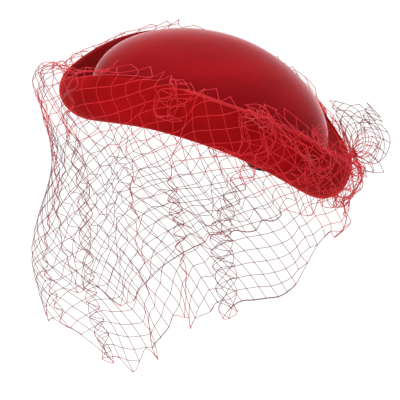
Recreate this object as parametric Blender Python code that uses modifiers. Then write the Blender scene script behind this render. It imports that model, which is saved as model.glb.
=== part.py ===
"""Velvet pillbox hat: an oval domed crown, an upturned cuff and a birdcage veil of coarse netting.

World frame: +Z up, the wearer faces -Y, the wearer's left is +X. The origin is the middle of the
opening, level with the lowest points of the cuff's front and back ends. The hat's own frame is tipped
back about X by TILT, and the veil hangs straight down from it.
"""

import math
from collections import namedtuple

import bmesh
import bpy
from mathutils import Matrix, Vector

MM = 0.001

# How the hat is worn, and the space left between two pieces that touch
TILT = math.radians(19.5)
GAP = 0.3 * MM

# Velvet crown: an oval dome on a short upright foot
CROWN_FRONT = 94 * MM
CROWN_BACK = 91 * MM
CROWN_HALF_WIDTH = 77 * MM
CROWN_SHOULDER = 32 * MM
CROWN_TOP = 92 * MM
CROWN_WALL = 2 * MM
CROWN_FULLNESS = 1.13

# Velvet cuff: rolled under at its foot, low at both ends and high over the ears
CUFF_FRONT = 115.5 * MM
CUFF_BACK = 115 * MM
CUFF_HALF_WIDTH = 90 * MM
CUFF_HEIGHT = 35 * MM
SIDE_ARCH = 31 * MM
CUFF_WALL = 2.5 * MM
LIP_HEIGHT = 8 * MM
LIP_FOOT = 6 * MM
LIP_CLEARANCE = 0.45 * MM

# Each line runs once round the cuff. Lengths and heights are shares of the sizes above, a bow is how
# long the line stays high before it drops to the end, and a point under 2 draws an end in.
CuffLine = namedtuple(
    "CuffLine",
    "front back width front_height back_height side_height front_bow back_bow front_point back_point",
)
CUFF_FOLD = CuffLine(0.84, 0.85, 0.89, 0.00, 0.00, 0.00, 2.5, 1.9, 2.00, 2.00)
CUFF_BELLY = CuffLine(1.00, 1.00, 0.97, 0.49, 0.57, 0.29, 2.6, 2.0, 1.85, 2.05)
CUFF_RIM = CuffLine(0.983, 0.965, 1.00, 0.70, 0.94, 1.00, 2.9, 2.2, 1.66, 2.12)

# Birdcage veil: one sheet of netting, sewn along the cuff's rim and hanging free below it
NET_THICKNESS = 1.6 * MM
NET_STRAND = 2.4 * MM
NET_COLUMNS = 18
NET_HALF_ROWS = 7
VEIL_REACH = 115 * MM
VEIL_DROP = 150 * MM
HEADING_BAND = 0.022
RIM_CLEARANCE = 2 * MM

# Over the rim the net leans in a little, swells out and lifts, as shares of the rim's clearance and
# of the puff below it
RIM_LEAN = 0.3
RIM_SWELL = 0.8
RIM_LIFT = 0.35

# Where the veil's lines lie, as shares of the way from the rim down to the hem, and how much of each
# fold shows there
VeilLine = namedtuple("VeilLine", "share fold")
OVER_RIM = VeilLine(0.09, 0.0)
BESIDE_CUFF = VeilLine(0.22, 0.0)
BROW = VeilLine(0.40, 0.3)
CHEEK = VeilLine(0.68, 1.0)
HEM = VeilLine(1.00, 1.4)

# Shares of VEIL_REACH, out from the upright axis, and of VEIL_DROP, down from the origin. The angle
# is in degrees from the front round to the back, the same on both sides, and puff is how far the
# net stands off the cuff.
VeilRow = namedtuple("VeilRow", "angle puff brow_reach brow_drop cheek_reach cheek_drop hem_reach hem_drop")
VEIL_ROWS = (
    VeilRow(0, 0.190, 0.95, 0.00, 1.14, 0.47, 0.99, 0.96),
    VeilRow(24, 0.130, 0.94, -0.02, 1.05, 0.47, 0.88, 0.94),
    VeilRow(48, 0.050, 0.84, -0.06, 0.84, 0.49, 0.71, 1.02),
    VeilRow(74, 0.026, 0.75, -0.12, 0.70, 0.41, 0.61, 0.84),
    VeilRow(105, 0.026, 0.76, -0.07, 0.72, 0.32, 0.66, 0.73),
    VeilRow(136, 0.030, 0.90, 0.07, 0.91, 0.33, 0.87, 0.59),
    VeilRow(158, 0.034, 0.99, 0.19, 1.00, 0.28, 0.94, 0.36),
    VeilRow(180, 0.038, 1.02, 0.21, 1.02, 0.26, 0.97, 0.30),
)

# Soft folds: degrees round from the front towards the left, how deep and how wide each one is
VeilFold = namedtuple("VeilFold", "angle depth width")
VEIL_FOLDS = (
    VeilFold(12, 0.035, 9),
    VeilFold(34, -0.055, 11),
    VeilFold(60, 0.030, 12),
    VeilFold(104, 0.050, 12),
    VeilFold(140, -0.030, 14),
    VeilFold(-20, -0.040, 12),
    VeilFold(-52, 0.045, 14),
    VeilFold(-88, -0.030, 14),
    VeilFold(-125, 0.040, 15),
)

# Tuft: the gathered ends of the netting, bound with thread at the back of the cuff
TUFT_RADIUS = 31 * MM
TUFT_HEAD = 11 * MM
TUFT_STEM = 2.6 * MM
TUFT_STEM_LENGTH = 3.4 * MM
TUFT_RISE = math.radians(24)
TUFT_OPENING = math.radians(50)
TUFT_RUFFLE = math.radians(18)
TUFT_RUFFLE_AT_HEAD = 0.4
TUFT_RUFFLES = 4
TUFT_COLUMNS = 8
TUFT_HALF_ROWS = 2
TUFT_DROP = 0.055
TUFT_SEAT = 0.9 * MM
TIE_THREAD = 1.3 * MM

# Hair comb: sewn inside the cuff's lip, behind the left ear, with its spine just showing
COMB_ANGLE = math.radians(121)
COMB_LENGTH = 30 * MM
COMB_SPINE = 5 * MM
COMB_BELOW_LIP = 8 * MM
COMB_TEETH = 9
COMB_TOOTH_LENGTH = 12 * MM
COMB_TOOTH_SHARE = 0.5
COMB_THICKNESS = 1.6 * MM

# Facets: points round each oval, and rows of the crown, of each quarter of the roll and of the wall
AROUND = 56
CROWN_ROWS = 9
FOLD_STEPS = 3
WALL_STEPS = 3
TIE_SEGMENTS = 14
TIE_SIDES = 6


def tipped(point):
    """The world place of a point given in the hat's own frame."""
    x, y, z = point
    return Vector((
        x,
        y * math.cos(TILT) + z * math.sin(TILT),
        z * math.cos(TILT) - y * math.sin(TILT),
    ))


def oval(front, back, half_width, front_point, back_point, angle):
    """A point of an oval plan, and how far along its half it lies. The angle is 0 at the front."""
    length, point = (front, front_point) if math.cos(angle) > 0 else (back, back_point)
    along = abs(math.cos(angle)) ** (2 / point)
    across = abs(math.sin(angle)) ** (2 / point)
    x = math.copysign(half_width * across, math.sin(angle))
    y = math.copysign(length * along, -math.cos(angle))
    return x, y, along


def cuff_point(line, angle):
    x, y, along = oval(
        line.front * CUFF_FRONT,
        line.back * CUFF_BACK,
        line.width * CUFF_HALF_WIDTH,
        line.front_point,
        line.back_point,
        angle,
    )
    at_front = math.cos(angle) > 0
    end = (line.front_height if at_front else line.back_height) * CUFF_HEIGHT
    side = SIDE_ARCH + line.side_height * CUFF_HEIGHT
    bow = line.front_bow if at_front else line.back_bow
    return Vector((x, y, side + (end - side) * along**bow))


def crown_point(angle, height, inset=0.0):
    """The crown's outer face at a height, or a place that far inside it."""
    rise = max(0.0, height - CROWN_SHOULDER) / (CROWN_TOP - CROWN_SHOULDER)
    share = math.sqrt(max(0.0, 1 - rise * rise)) ** CROWN_FULLNESS
    x, y, _ = oval(
        CROWN_FRONT * share - inset,
        CROWN_BACK * share - inset,
        CROWN_HALF_WIDTH * share - inset,
        2,
        2,
        angle,
    )
    return Vector((x, y, height))


def angles(count):
    return [2 * math.pi * i / count for i in range(count)]


def loft(bm, loops):
    """Quads between closed loops of as many points each."""
    rings = [[bm.verts.new(point) for point in loop] for loop in loops]
    for lower, upper in zip(rings, rings[1:]):
        for i in range(len(lower)):
            j = (i + 1) % len(lower)
            bm.faces.new((lower[i], lower[j], upper[j], upper[i]))
    return rings


def add_object(name, bm, material, smooth_degrees=40):
    bmesh.ops.recalc_face_normals(bm, faces=bm.faces)
    mesh = bpy.data.meshes.new(name)
    bm.to_mesh(mesh)
    bm.free()
    mesh.shade_smooth()
    mesh.set_sharp_from_angle(angle=math.radians(smooth_degrees))
    mesh.materials.append(material)
    piece = bpy.data.objects.new(name, mesh)
    hat_parts.objects.link(piece)
    return piece


def add_wall(piece, thickness, offset):
    wall = piece.modifiers.new("Wall", "SOLIDIFY")
    wall.thickness = thickness
    wall.offset = offset
    wall.use_even_offset = True
    return wall


def make_material(name, colour, roughness, sheen):
    material = bpy.data.materials.new(name)
    material.use_nodes = True
    shader = material.node_tree.nodes["Principled BSDF"]
    shader.inputs["Base Color"].default_value = (*colour, 1)
    shader.inputs["Roughness"].default_value = roughness
    shader.inputs["Metallic"].default_value = 0
    shader.inputs["Sheen Weight"].default_value = sheen
    return material


# Crown: rows of the dome, from the foot that stands inside the cuff up to the top
def make_crown():
    bm = bmesh.new()
    loops = []
    for row in range(CROWN_ROWS):
        climb = math.sin(row / CROWN_ROWS * math.pi / 2)
        loop = []
        for angle in angles(AROUND):
            foot = cuff_point(CUFF_FOLD, angle).z + LIP_FOOT
            loop.append(crown_point(angle, foot + (CROWN_TOP - foot) * climb))
        loops.append(loop)
    rings = loft(bm, loops)
    top = bm.verts.new((0, 0, CROWN_TOP))
    for i in range(AROUND):
        bm.faces.new((rings[-1][i], rings[-1][(i + 1) % AROUND], top))
    crown = add_object("crown", bm, crown_velvet)
    add_wall(crown, CROWN_WALL, -1)
    crown.rotation_euler.x = -TILT
    return crown


# Cuff: the lip inside the crown, the roll round the foot, and the wall up to the rim
def lip_point(angle, climb, inset=0.0):
    """The lip's face towards the head, from its foot at 0 to its top at 1."""
    height = cuff_point(CUFF_FOLD, angle).z + LIP_FOOT + LIP_HEIGHT * climb
    return crown_point(angle, height, CROWN_WALL + LIP_CLEARANCE + CUFF_WALL + inset)


def cuff_section(angle):
    fold = cuff_point(CUFF_FOLD, angle)
    belly = cuff_point(CUFF_BELLY, angle)
    rim = cuff_point(CUFF_RIM, angle)
    foot = lip_point(angle, 0)
    section = [lip_point(angle, 1), foot]
    for step in range(1, FOLD_STEPS):
        turn = math.pi / 2 * (1 - step / FOLD_STEPS)
        across = fold.lerp(foot, math.sin(turn))
        section.append(Vector((across.x, across.y, foot.z + (fold.z - foot.z) * math.cos(turn))))
    section.append(fold)
    for step in range(1, FOLD_STEPS + 1):
        turn = math.pi / 2 * step / FOLD_STEPS
        across = fold.lerp(belly, math.sin(turn))
        section.append(Vector((across.x, across.y, belly.z + (fold.z - belly.z) * math.cos(turn))))
    for step in range(1, WALL_STEPS + 1):
        share = step / WALL_STEPS
        upright = Vector((belly.x, belly.y, rim.z))
        bowed = belly.lerp(upright, share).lerp(upright.lerp(rim, share), share)
        section.append(bowed)
    return section


def make_cuff():
    bm = bmesh.new()
    sections = [cuff_section(angle) for angle in angles(AROUND)]
    loft(bm, [list(loop) for loop in zip(*sections)])
    cuff = add_object("cuff", bm, cuff_velvet)
    add_wall(cuff, CUFF_WALL, -1)
    cuff.rotation_euler.x = -TILT
    return cuff


# Netting: diamonds whose sides are strands, with the first row closed where it is gathered. The
# closed half diamonds fan out from a point this share of the way down them.
GATHER_MIDDLE = 0.4


def net_shell(columns, half_rows, steps, surface, collar):
    """A net round a closed surface(turn, drop), with both shares running from 0 to 1.

    The collar is a solid band above it: one function of the turn for each of its edges.
    """
    bm = bmesh.new()
    placed = {}
    round_count = 2 * columns * steps
    down_count = half_rows * steps

    def vert(across, down):
        key = (across % round_count, down)
        if key not in placed:
            placed[key] = bm.verts.new(surface(key[0] / round_count, down / down_count))
        return placed[key]

    def side(start, end):
        return [
            vert(start[0] * (steps - k) + end[0] * k, start[1] * (steps - k) + end[1] * k)
            for k in range(steps)
        ]

    diamonds = []
    for row in range(1, half_rows):
        for column in range(2 * columns):
            if (column + row) % 2:
                corners = [(column - 1, row), (column, row + 1), (column + 1, row), (column, row - 1)]
                around = [v for a, b in zip(corners, corners[1:] + corners[:1]) for v in side(a, b)]
                diamonds.append(bm.faces.new(around))
    for column in range(1, 2 * columns, 2):
        corners = [(column - 1, 0), (column, 1), (column + 1, 0)]
        around = side(corners[0], corners[1]) + side(corners[1], corners[2])
        around += [vert((column + 1) * steps - k, 0) for k in range(2 * steps)]
        middle = vert(column * steps, GATHER_MIDDLE * steps)
        for first, second in zip(around, around[1:] + around[:1]):
            bm.faces.new((first, second, middle))
    edge = [vert(across, 0) for across in range(round_count)]
    for collar_point in collar:
        upper = [bm.verts.new(collar_point(across / round_count)) for across in range(round_count)]
        for k in range(round_count):
            n = (k + 1) % round_count
            bm.faces.new((edge[k], edge[n], upper[n], upper[k]))
        edge = upper
    bmesh.ops.recalc_face_normals(bm, faces=bm.faces)
    bmesh.ops.inset_individual(bm, faces=diamonds, thickness=NET_STRAND / 2, use_even_offset=True)
    bmesh.ops.delete(bm, geom=diamonds, context="FACES")
    return bm


# Veil: stations from the rim down to the hem, joined by a smooth curve
def veil_row(angle):
    """The table's row at an angle, eased between its neighbours."""
    degrees = abs(math.degrees(math.atan2(math.sin(angle), math.cos(angle))))
    for low, high in zip(VEIL_ROWS, VEIL_ROWS[1:]):
        if degrees <= high.angle:
            share = (degrees - low.angle) / (high.angle - low.angle)
            share = share * share * (3 - 2 * share)
            return VeilRow(*(a + (b - a) * share for a, b in zip(low, high)))
    return VEIL_ROWS[-1]


def fold_depth(angle):
    depth = 0.0
    for fold in VEIL_FOLDS:
        away = math.degrees(angle) - fold.angle
        away = (away + 180) % 360 - 180
        depth += fold.depth * math.exp(-((away / fold.width) ** 2))
    return depth


def smooth_path(stations, share):
    """A point of the curve through stations of (share, place)."""
    last = len(stations) - 1
    k = max(i for i in range(last) if stations[i][0] <= share or i == 0)
    start, end = stations[k], stations[k + 1]
    width = end[0] - start[0]
    before = stations[max(k - 1, 0)]
    after = stations[min(k + 2, last)]
    leave = (end[1] - before[1]) * (width / (end[0] - before[0]))
    arrive = (after[1] - start[1]) * (width / (after[0] - start[0]))
    t = (share - start[0]) / width
    return (
        start[1] * (2 * t**3 - 3 * t**2 + 1)
        + leave * (t**3 - 2 * t**2 + t)
        + end[1] * (3 * t**2 - 2 * t**3)
        + arrive * (t**3 - t**2)
    )


def veil_point(turn, drop):
    angle = 2 * math.pi * turn
    row = veil_row(angle)
    rim = cuff_point(CUFF_RIM, angle)
    belly = cuff_point(CUFF_BELLY, angle)
    outward = Vector((rim.x, rim.y, 0)).normalized()
    flat_out = Vector((math.sin(angle), -math.cos(angle), 0))
    up = Vector((0, 0, 1))
    clearance = RIM_CLEARANCE + NET_THICKNESS / 2
    puff = row.puff * VEIL_REACH
    crest = rim + (up - RIM_LEAN * outward) * clearance
    over = rim + outward * (clearance + RIM_SWELL * puff) + up * RIM_LIFT * puff
    stand = belly + outward * (clearance + puff)
    fold = fold_depth(angle)

    def hung(line, reach, depth):
        return flat_out * (reach + fold * line.fold) * VEIL_REACH - up * depth * VEIL_DROP

    stations = (
        (0.0, tipped(crest)),
        (OVER_RIM.share, tipped(over)),
        (BESIDE_CUFF.share, tipped(stand)),
        (BROW.share, hung(BROW, row.brow_reach, row.brow_drop)),
        (CHEEK.share, hung(CHEEK, row.cheek_reach, row.cheek_drop)),
        (HEM.share, hung(HEM, row.hem_reach, row.hem_drop)),
    )
    return smooth_path(stations, drop)


def make_veil():
    heading = [lambda turn: veil_point(turn, -HEADING_BAND)]
    bm = net_shell(NET_COLUMNS, NET_HALF_ROWS, 2, veil_point, heading)
    veil = add_object("veil", bm, netting)
    add_wall(veil, NET_THICKNESS, 0)
    return veil


# Tuft: a ruffled flower of netting on a gathered stem, at the first gathered net cell past the back
TUFT_TURN = (NET_COLUMNS + 1) / (2 * NET_COLUMNS)


def tuft_frame():
    """Where the stem starts, on the veil's heading, and the directions along and across it."""
    angle = 2 * math.pi * TUFT_TURN
    axis = Vector((
        math.sin(angle) * math.cos(TUFT_RISE),
        -math.cos(angle) * math.cos(TUFT_RISE),
        math.sin(TUFT_RISE),
    ))
    across = Vector((-math.cos(angle), -math.sin(angle), 0))
    start = veil_point(TUFT_TURN, TUFT_DROP) + axis * (NET_THICKNESS / 2 + TUFT_SEAT)
    return start, axis, across, across.cross(axis)


def stem_point(turn, along):
    start, axis, across, upward = tuft_frame()
    away = across * math.cos(2 * math.pi * turn) + upward * math.sin(2 * math.pi * turn)
    return start + axis * along + away * TUFT_STEM


def tuft_point(turn, drop):
    start, axis, across, upward = tuft_frame()
    angle = 2 * math.pi * turn
    reach = TUFT_HEAD + (TUFT_RADIUS - TUFT_HEAD) * drop
    depth = TUFT_RUFFLE_AT_HEAD + (1 - TUFT_RUFFLE_AT_HEAD) * drop
    opening = TUFT_OPENING + TUFT_RUFFLE * math.cos(TUFT_RUFFLES * angle) * depth
    away = across * math.cos(angle) + upward * math.sin(angle)
    along = TUFT_STEM_LENGTH + reach * math.cos(opening)
    return start + axis * along + away * (TUFT_STEM + reach * math.sin(opening))


def make_tuft():
    stem = [lambda turn: stem_point(turn, TUFT_STEM_LENGTH), lambda turn: stem_point(turn, 0)]
    bm = net_shell(TUFT_COLUMNS, TUFT_HALF_ROWS, 2, tuft_point, stem)
    tuft = add_object("back_tuft", bm, netting)
    add_wall(tuft, NET_THICKNESS, 0)
    return tuft


# Tie: a ring of thread wound tight round the tuft's stem
def make_tie():
    start, axis, across, upward = tuft_frame()
    bpy.ops.mesh.primitive_torus_add(
        major_radius=TUFT_STEM + NET_THICKNESS / 2 + GAP + TIE_THREAD,
        minor_radius=TIE_THREAD,
        major_segments=TIE_SEGMENTS,
        minor_segments=TIE_SIDES,
        location=start + axis * (GAP + TIE_THREAD),
        rotation=axis.to_track_quat("Z", "Y").to_euler(),
    )
    tie = bpy.context.object
    tie.name = "tuft_tie"
    tie.data.name = "tuft_tie"
    tie.data.materials.append(thread)
    move_to_hat(tie)
    return tie


# Comb: a flat outline, its spine along the lip and its teeth standing up against it
def comb_outline():
    pitch = COMB_LENGTH / (COMB_TEETH - 1 + COMB_TOOTH_SHARE)
    half = COMB_LENGTH / 2
    points = [(-half, 0), (half, 0)]
    for tooth in reversed(range(COMB_TEETH)):
        left = -half + tooth * pitch
        right = left + pitch * COMB_TOOTH_SHARE
        tip = COMB_SPINE + COMB_TOOTH_LENGTH
        points += [(right, COMB_SPINE), (right, tip), (left, tip), (left, COMB_SPINE)]
    points[2:3] = []
    points[-1:] = []
    return points


def make_comb():
    curve = bpy.data.curves.new("hair_comb", "CURVE")
    curve.dimensions = "2D"
    curve.fill_mode = "BOTH"
    curve.extrude = COMB_THICKNESS / 2
    spline = curve.splines.new("POLY")
    outline = comb_outline()
    spline.points.add(len(outline) - 1)
    for point, (x, y) in zip(spline.points, outline):
        point.co = (x, y, 0, 1)
    spline.use_cyclic_u = True
    comb = bpy.data.objects.new("hair_comb", curve)
    curve.materials.append(comb_plastic)
    hat_parts.objects.link(comb)

    bow = COMB_LENGTH**2 / (8 * CROWN_HALF_WIDTH)
    inset = GAP + COMB_THICKNESS / 2 + bow
    foot = lip_point(COMB_ANGLE, 0, inset)
    up = (lip_point(COMB_ANGLE, 1, inset) - foot).normalized()
    spread = COMB_LENGTH / (2 * CROWN_HALF_WIDTH)
    along = lip_point(COMB_ANGLE + spread, 0, inset) - lip_point(COMB_ANGLE - spread, 0, inset)
    along = Vector((along.x, along.y, 0)).normalized()
    outward = along.cross(up).normalized()
    up = outward.cross(along)
    place = foot - up * COMB_BELOW_LIP
    frame = Matrix((along, up, outward)).transposed().to_4x4()
    frame.translation = place
    comb.matrix_world = Matrix.Rotation(-TILT, 4, "X") @ frame
    return comb


def move_to_hat(piece):
    """Takes a piece that an operator made out of its collections and puts it with the others."""
    for collection in list(piece.users_collection):
        collection.objects.unlink(piece)
    hat_parts.objects.link(piece)


for old in list(bpy.data.objects):
    bpy.data.objects.remove(old, do_unlink=True)

hat_parts = bpy.data.collections.new("pillbox_hat")
bpy.context.scene.collection.children.link(hat_parts)

crown_velvet = make_material("crown_velvet", (0.42, 0.006, 0.012), 0.75, 0.6)
cuff_velvet = make_material("cuff_velvet", (0.50, 0.007, 0.010), 0.80, 0.6)
netting = make_material("netting", (0.60, 0.02, 0.05), 0.60, 0.0)
thread = make_material("thread", (0.55, 0.01, 0.03), 0.55, 0.0)
comb_plastic = make_material("comb_plastic", (0.012, 0.012, 0.013), 0.35, 0.0)

make_crown()
make_cuff()
make_veil()
make_tuft()
make_tie()
make_comb()
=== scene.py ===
import math
from collections import namedtuple

import bmesh
import bpy
import numpy as np
from mathutils import Matrix, Vector


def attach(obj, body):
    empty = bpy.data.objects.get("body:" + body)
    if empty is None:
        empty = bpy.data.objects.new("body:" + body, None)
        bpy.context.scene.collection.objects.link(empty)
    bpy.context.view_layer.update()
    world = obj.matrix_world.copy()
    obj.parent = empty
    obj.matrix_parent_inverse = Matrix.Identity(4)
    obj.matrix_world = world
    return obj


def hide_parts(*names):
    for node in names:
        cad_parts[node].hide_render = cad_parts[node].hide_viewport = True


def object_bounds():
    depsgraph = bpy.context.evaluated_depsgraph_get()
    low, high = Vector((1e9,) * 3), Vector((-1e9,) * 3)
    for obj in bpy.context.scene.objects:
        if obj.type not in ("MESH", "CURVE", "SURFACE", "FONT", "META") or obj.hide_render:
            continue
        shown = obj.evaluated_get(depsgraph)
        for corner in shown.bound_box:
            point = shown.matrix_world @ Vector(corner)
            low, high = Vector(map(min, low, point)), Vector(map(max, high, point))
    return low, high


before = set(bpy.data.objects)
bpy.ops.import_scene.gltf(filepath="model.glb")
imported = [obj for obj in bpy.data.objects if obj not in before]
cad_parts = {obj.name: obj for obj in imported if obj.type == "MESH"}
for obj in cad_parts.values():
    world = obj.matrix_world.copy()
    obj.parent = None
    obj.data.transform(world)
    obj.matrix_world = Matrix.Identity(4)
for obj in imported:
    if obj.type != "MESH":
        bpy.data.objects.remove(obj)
cad_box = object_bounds()
MM = 0.001


# Camera: it sees the hat's left side from a little above. A long lens keeps the outline true, and it
# aims at the middle of the hat and its veil together.
SHOT_AZIMUTH = math.radians(90)
SHOT_ELEVATION = math.radians(20)
SHOT_DISTANCE = 1351 * MM
SHOT_TARGET = Vector((12.7, 1.7, -34.9)) * MM
LENS_MM = 160
SENSOR_MM = 36

towards_camera = Vector((
    math.sin(SHOT_AZIMUTH) * math.cos(SHOT_ELEVATION),
    -math.cos(SHOT_AZIMUTH) * math.cos(SHOT_ELEVATION),
    math.sin(SHOT_ELEVATION),
))
camera = bpy.data.objects.new("camera", bpy.data.cameras.new("camera"))
camera.data.lens = LENS_MM
camera.data.sensor_width = SENSOR_MM
camera.location = SHOT_TARGET + towards_camera * SHOT_DISTANCE
camera.rotation_euler = towards_camera.to_track_quat("Z", "Y").to_euler()
bpy.context.scene.collection.objects.link(camera)
bpy.context.scene.camera = camera


# Crown: one piece of velvet steamed and pulled smooth over a stiff oval dome. Its lower edge is turned
# in and stitched inside the cuff, so no seam shows.
HAT_TILT = math.radians(19.5)
CROWN_FRONT = 94 * MM
CROWN_BACK = 91 * MM
CROWN_HALF_WIDTH = 77 * MM
CROWN_SHOULDER = 32 * MM
CROWN_TOP = 92 * MM
CROWN_WALL = 2 * MM
CROWN_FULLNESS = 1.13
CROWN_ROWS = 60
ROUND_STEPS = 240
CUFF_FRONT = 115.5 * MM
CUFF_BACK = 115 * MM
CUFF_HALF_WIDTH = 90 * MM
CUFF_HEIGHT = 35 * MM
SIDE_ARCH = 31 * MM
LIP_FOOT = 6 * MM
PLAIN_ELLIPSE = 2

# A line round the cuff: shares of the cuff's sizes, how its side arches fall to the ends, and its plan
CuffLine = namedtuple(
    "CuffLine",
    "front back width front_height back_height side_height front_bow back_bow front_point back_point",
)
CUFF_FOLD = CuffLine(0.84, 0.85, 0.89, 0.00, 0.00, 0.00, 2.5, 1.9, 2.00, 2.00)

# A velvet's colours: the least and most red of its brushed pile, and the tint of its sheen
Nap = namedtuple("Nap", "deep bright sheen")
CROWN_NAP = Nap((0.155, 0.0013, 0.003, 1), (0.230, 0.0021, 0.005, 1), (1.0, 0.64, 0.68, 1))
STROKE_STRETCH = (26, 9, 34)
STROKE_HEIGHT = 1.2 * MM
PILE_FINENESS = 1700.0
PILE_HEIGHT = 0.35 * MM


def as_worn(points):
    """Points of the hat's own frame, tipped back as the hat sits."""
    x, y, z = np.moveaxis(np.asarray(points, float), -1, 0)
    return np.stack([
        x,
        y * math.cos(HAT_TILT) + z * math.sin(HAT_TILT),
        z * math.cos(HAT_TILT) - y * math.sin(HAT_TILT),
    ], axis=-1)


def oval(front, back, half_width, front_point, back_point, angle):
    """Plan of an oval whose two ends differ, and how far along its half each point lies."""
    ahead = np.cos(angle) > 0
    point = np.where(ahead, front_point, back_point)
    along = np.abs(np.cos(angle)) ** (2 / point)
    across = np.abs(np.sin(angle)) ** (2 / point)
    x = half_width * across * np.sign(np.sin(angle))
    y = np.where(ahead, -front, back) * along
    return x, y, along


def cuff_line(line, angle):
    """Points of one line round the cuff at the given angles, in the hat's own frame."""
    x, y, along = oval(
        line.front * CUFF_FRONT, line.back * CUFF_BACK, line.width * CUFF_HALF_WIDTH,
        line.front_point, line.back_point, angle,
    )
    ahead = np.cos(angle) > 0
    end = np.where(ahead, line.front_height, line.back_height) * CUFF_HEIGHT
    side = SIDE_ARCH + line.side_height * CUFF_HEIGHT
    bow = np.where(ahead, line.front_bow, line.back_bow)
    return np.stack([x, y, side + (end - side) * along**bow], axis=-1)


def crown_face(angle, height, inset=0.0):
    """Points of the crown's outer face at the given angles and heights, or so far inside it."""
    rise = np.clip((height - CROWN_SHOULDER) / (CROWN_TOP - CROWN_SHOULDER), 0, 1)
    share = np.sqrt(1 - rise**2) ** CROWN_FULLNESS
    x, y, _ = oval(
        CROWN_FRONT * share - inset, CROWN_BACK * share - inset, CROWN_HALF_WIDTH * share - inset,
        PLAIN_ELLIPSE, PLAIN_ELLIPSE, angle,
    )
    return np.stack([x, y, height + 0 * x], axis=-1)


def new_piece(name, points, faces, material):
    mesh = bpy.data.meshes.new(name)
    mesh.from_pydata(np.reshape(points, (-1, 3)).tolist(), [], faces)
    bm = bmesh.new()
    bm.from_mesh(mesh)
    bmesh.ops.recalc_face_normals(bm, faces=bm.faces)
    bm.to_mesh(mesh)
    bm.free()
    mesh.shade_smooth()
    mesh.materials.append(material)
    piece = bpy.data.objects.new(name, mesh)
    bpy.context.scene.collection.objects.link(piece)
    return piece


def ring_faces(rings, around, closed=False):
    """Quads that join rings of as many points each, and the last ring to the first where it is closed."""
    faces = []
    for row in range(rings if closed else rings - 1):
        low = row * around
        high = (row + 1) % rings * around
        for i in range(around):
            j = (i + 1) % around
            faces.append((low + i, low + j, high + j, high + i))
    return faces


def node(tree, kind, place=(0, 0), **inputs):
    made = tree.nodes.new(kind)
    made.location = place
    for name, value in inputs.items():
        made.inputs[name.replace("_", " ")].default_value = value
    return made


def velvet(name, nap, painted_light_red=None):
    """Short dense pile: it glows where the light grazes it, and is darkest seen straight on."""
    material = bpy.data.materials.new(name)
    material.use_nodes = True
    tree = material.node_tree
    shader = tree.nodes["Principled BSDF"]
    shader.inputs["Roughness"].default_value = 0.82
    shader.inputs["Specular IOR Level"].default_value = 0.04
    shader.inputs["Sheen Weight"].default_value = 1.0
    shader.inputs["Sheen Roughness"].default_value = 0.26
    shader.inputs["Sheen Tint"].default_value = nap.sheen
    place = node(tree, "ShaderNodeTexCoord", (-1100, 0))
    brushed = node(tree, "ShaderNodeMapping", (-900, 200))
    brushed.inputs["Scale"].default_value = STROKE_STRETCH
    tree.links.new(place.outputs["Object"], brushed.inputs["Vector"])
    strokes = node(tree, "ShaderNodeTexNoise", (-700, 200), Scale=1.0, Detail=3.0, Roughness=0.55)
    tree.links.new(brushed.outputs["Vector"], strokes.inputs["Vector"])
    pile = node(tree, "ShaderNodeTexNoise", (-700, -100), Scale=PILE_FINENESS, Detail=2.0, Roughness=0.6)
    tree.links.new(place.outputs["Object"], pile.inputs["Vector"])
    lay = node(tree, "ShaderNodeMapRange", (-500, 200), From_Min=0.30, From_Max=0.70)
    tree.links.new(strokes.outputs["Fac"], lay.inputs["Value"])
    red = tree.nodes.new("ShaderNodeMix")
    red.data_type = "RGBA"
    red.inputs["A"].default_value = nap.deep
    red.inputs["B"].default_value = nap.bright
    tree.links.new(lay.outputs["Result"], red.inputs["Factor"])
    colour = red.outputs["Result"]
    # Painted light: a lighter red is mixed into the base colour by the cuff's attribute. On the inner face
    # it is painted light where the gully lies in shade, and on the rim it is a painted sheen line.
    if painted_light_red:
        painted_light_mask = node(tree, "ShaderNodeAttribute", (-500, -300))
        painted_light_mask.attribute_name = "painted_light_edge"
        edge = tree.nodes.new("ShaderNodeMix")
        edge.data_type = "RGBA"
        edge.inputs["B"].default_value = painted_light_red
        tree.links.new(painted_light_mask.outputs["Fac"], edge.inputs["Factor"])
        tree.links.new(colour, edge.inputs["A"])
        colour = edge.outputs["Result"]
    tree.links.new(colour, shader.inputs["Base Color"])
    soft = node(tree, "ShaderNodeBump", (-250, -200), Strength=0.35, Distance=PILE_HEIGHT)
    tree.links.new(pile.outputs["Fac"], soft.inputs["Height"])
    broad = node(tree, "ShaderNodeBump", (-50, -200), Strength=0.25, Distance=STROKE_HEIGHT)
    tree.links.new(strokes.outputs["Fac"], broad.inputs["Height"])
    tree.links.new(soft.outputs["Normal"], broad.inputs["Normal"])
    tree.links.new(broad.outputs["Normal"], shader.inputs["Normal"])
    return material


turns = np.linspace(0, 2 * np.pi, ROUND_STEPS, endpoint=False)
climbs = np.sin(np.arange(CROWN_ROWS) / CROWN_ROWS * np.pi / 2)
crown_foot = cuff_line(CUFF_FOLD, turns)[:, 2] + LIP_FOOT
crown_rows = [crown_face(turns, crown_foot + (CROWN_TOP - crown_foot) * climb) for climb in climbs]
crown_points = np.concatenate([*crown_rows, [[0, 0, CROWN_TOP]]])
crown_faces = ring_faces(CROWN_ROWS, ROUND_STEPS)
apex = CROWN_ROWS * ROUND_STEPS
last_ring = apex - ROUND_STEPS
crown_faces += [(last_ring + i, last_ring + (i + 1) % ROUND_STEPS, apex) for i in range(ROUND_STEPS)]
crown = new_piece("velvet_crown", as_worn(crown_points), crown_faces, velvet("crown_velvet", CROWN_NAP))
buckram = crown.modifiers.new("stiff_wall", "SOLIDIFY")
buckram.thickness = CROWN_WALL
buckram.offset = -1
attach(crown, "root")
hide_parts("crown")
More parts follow.
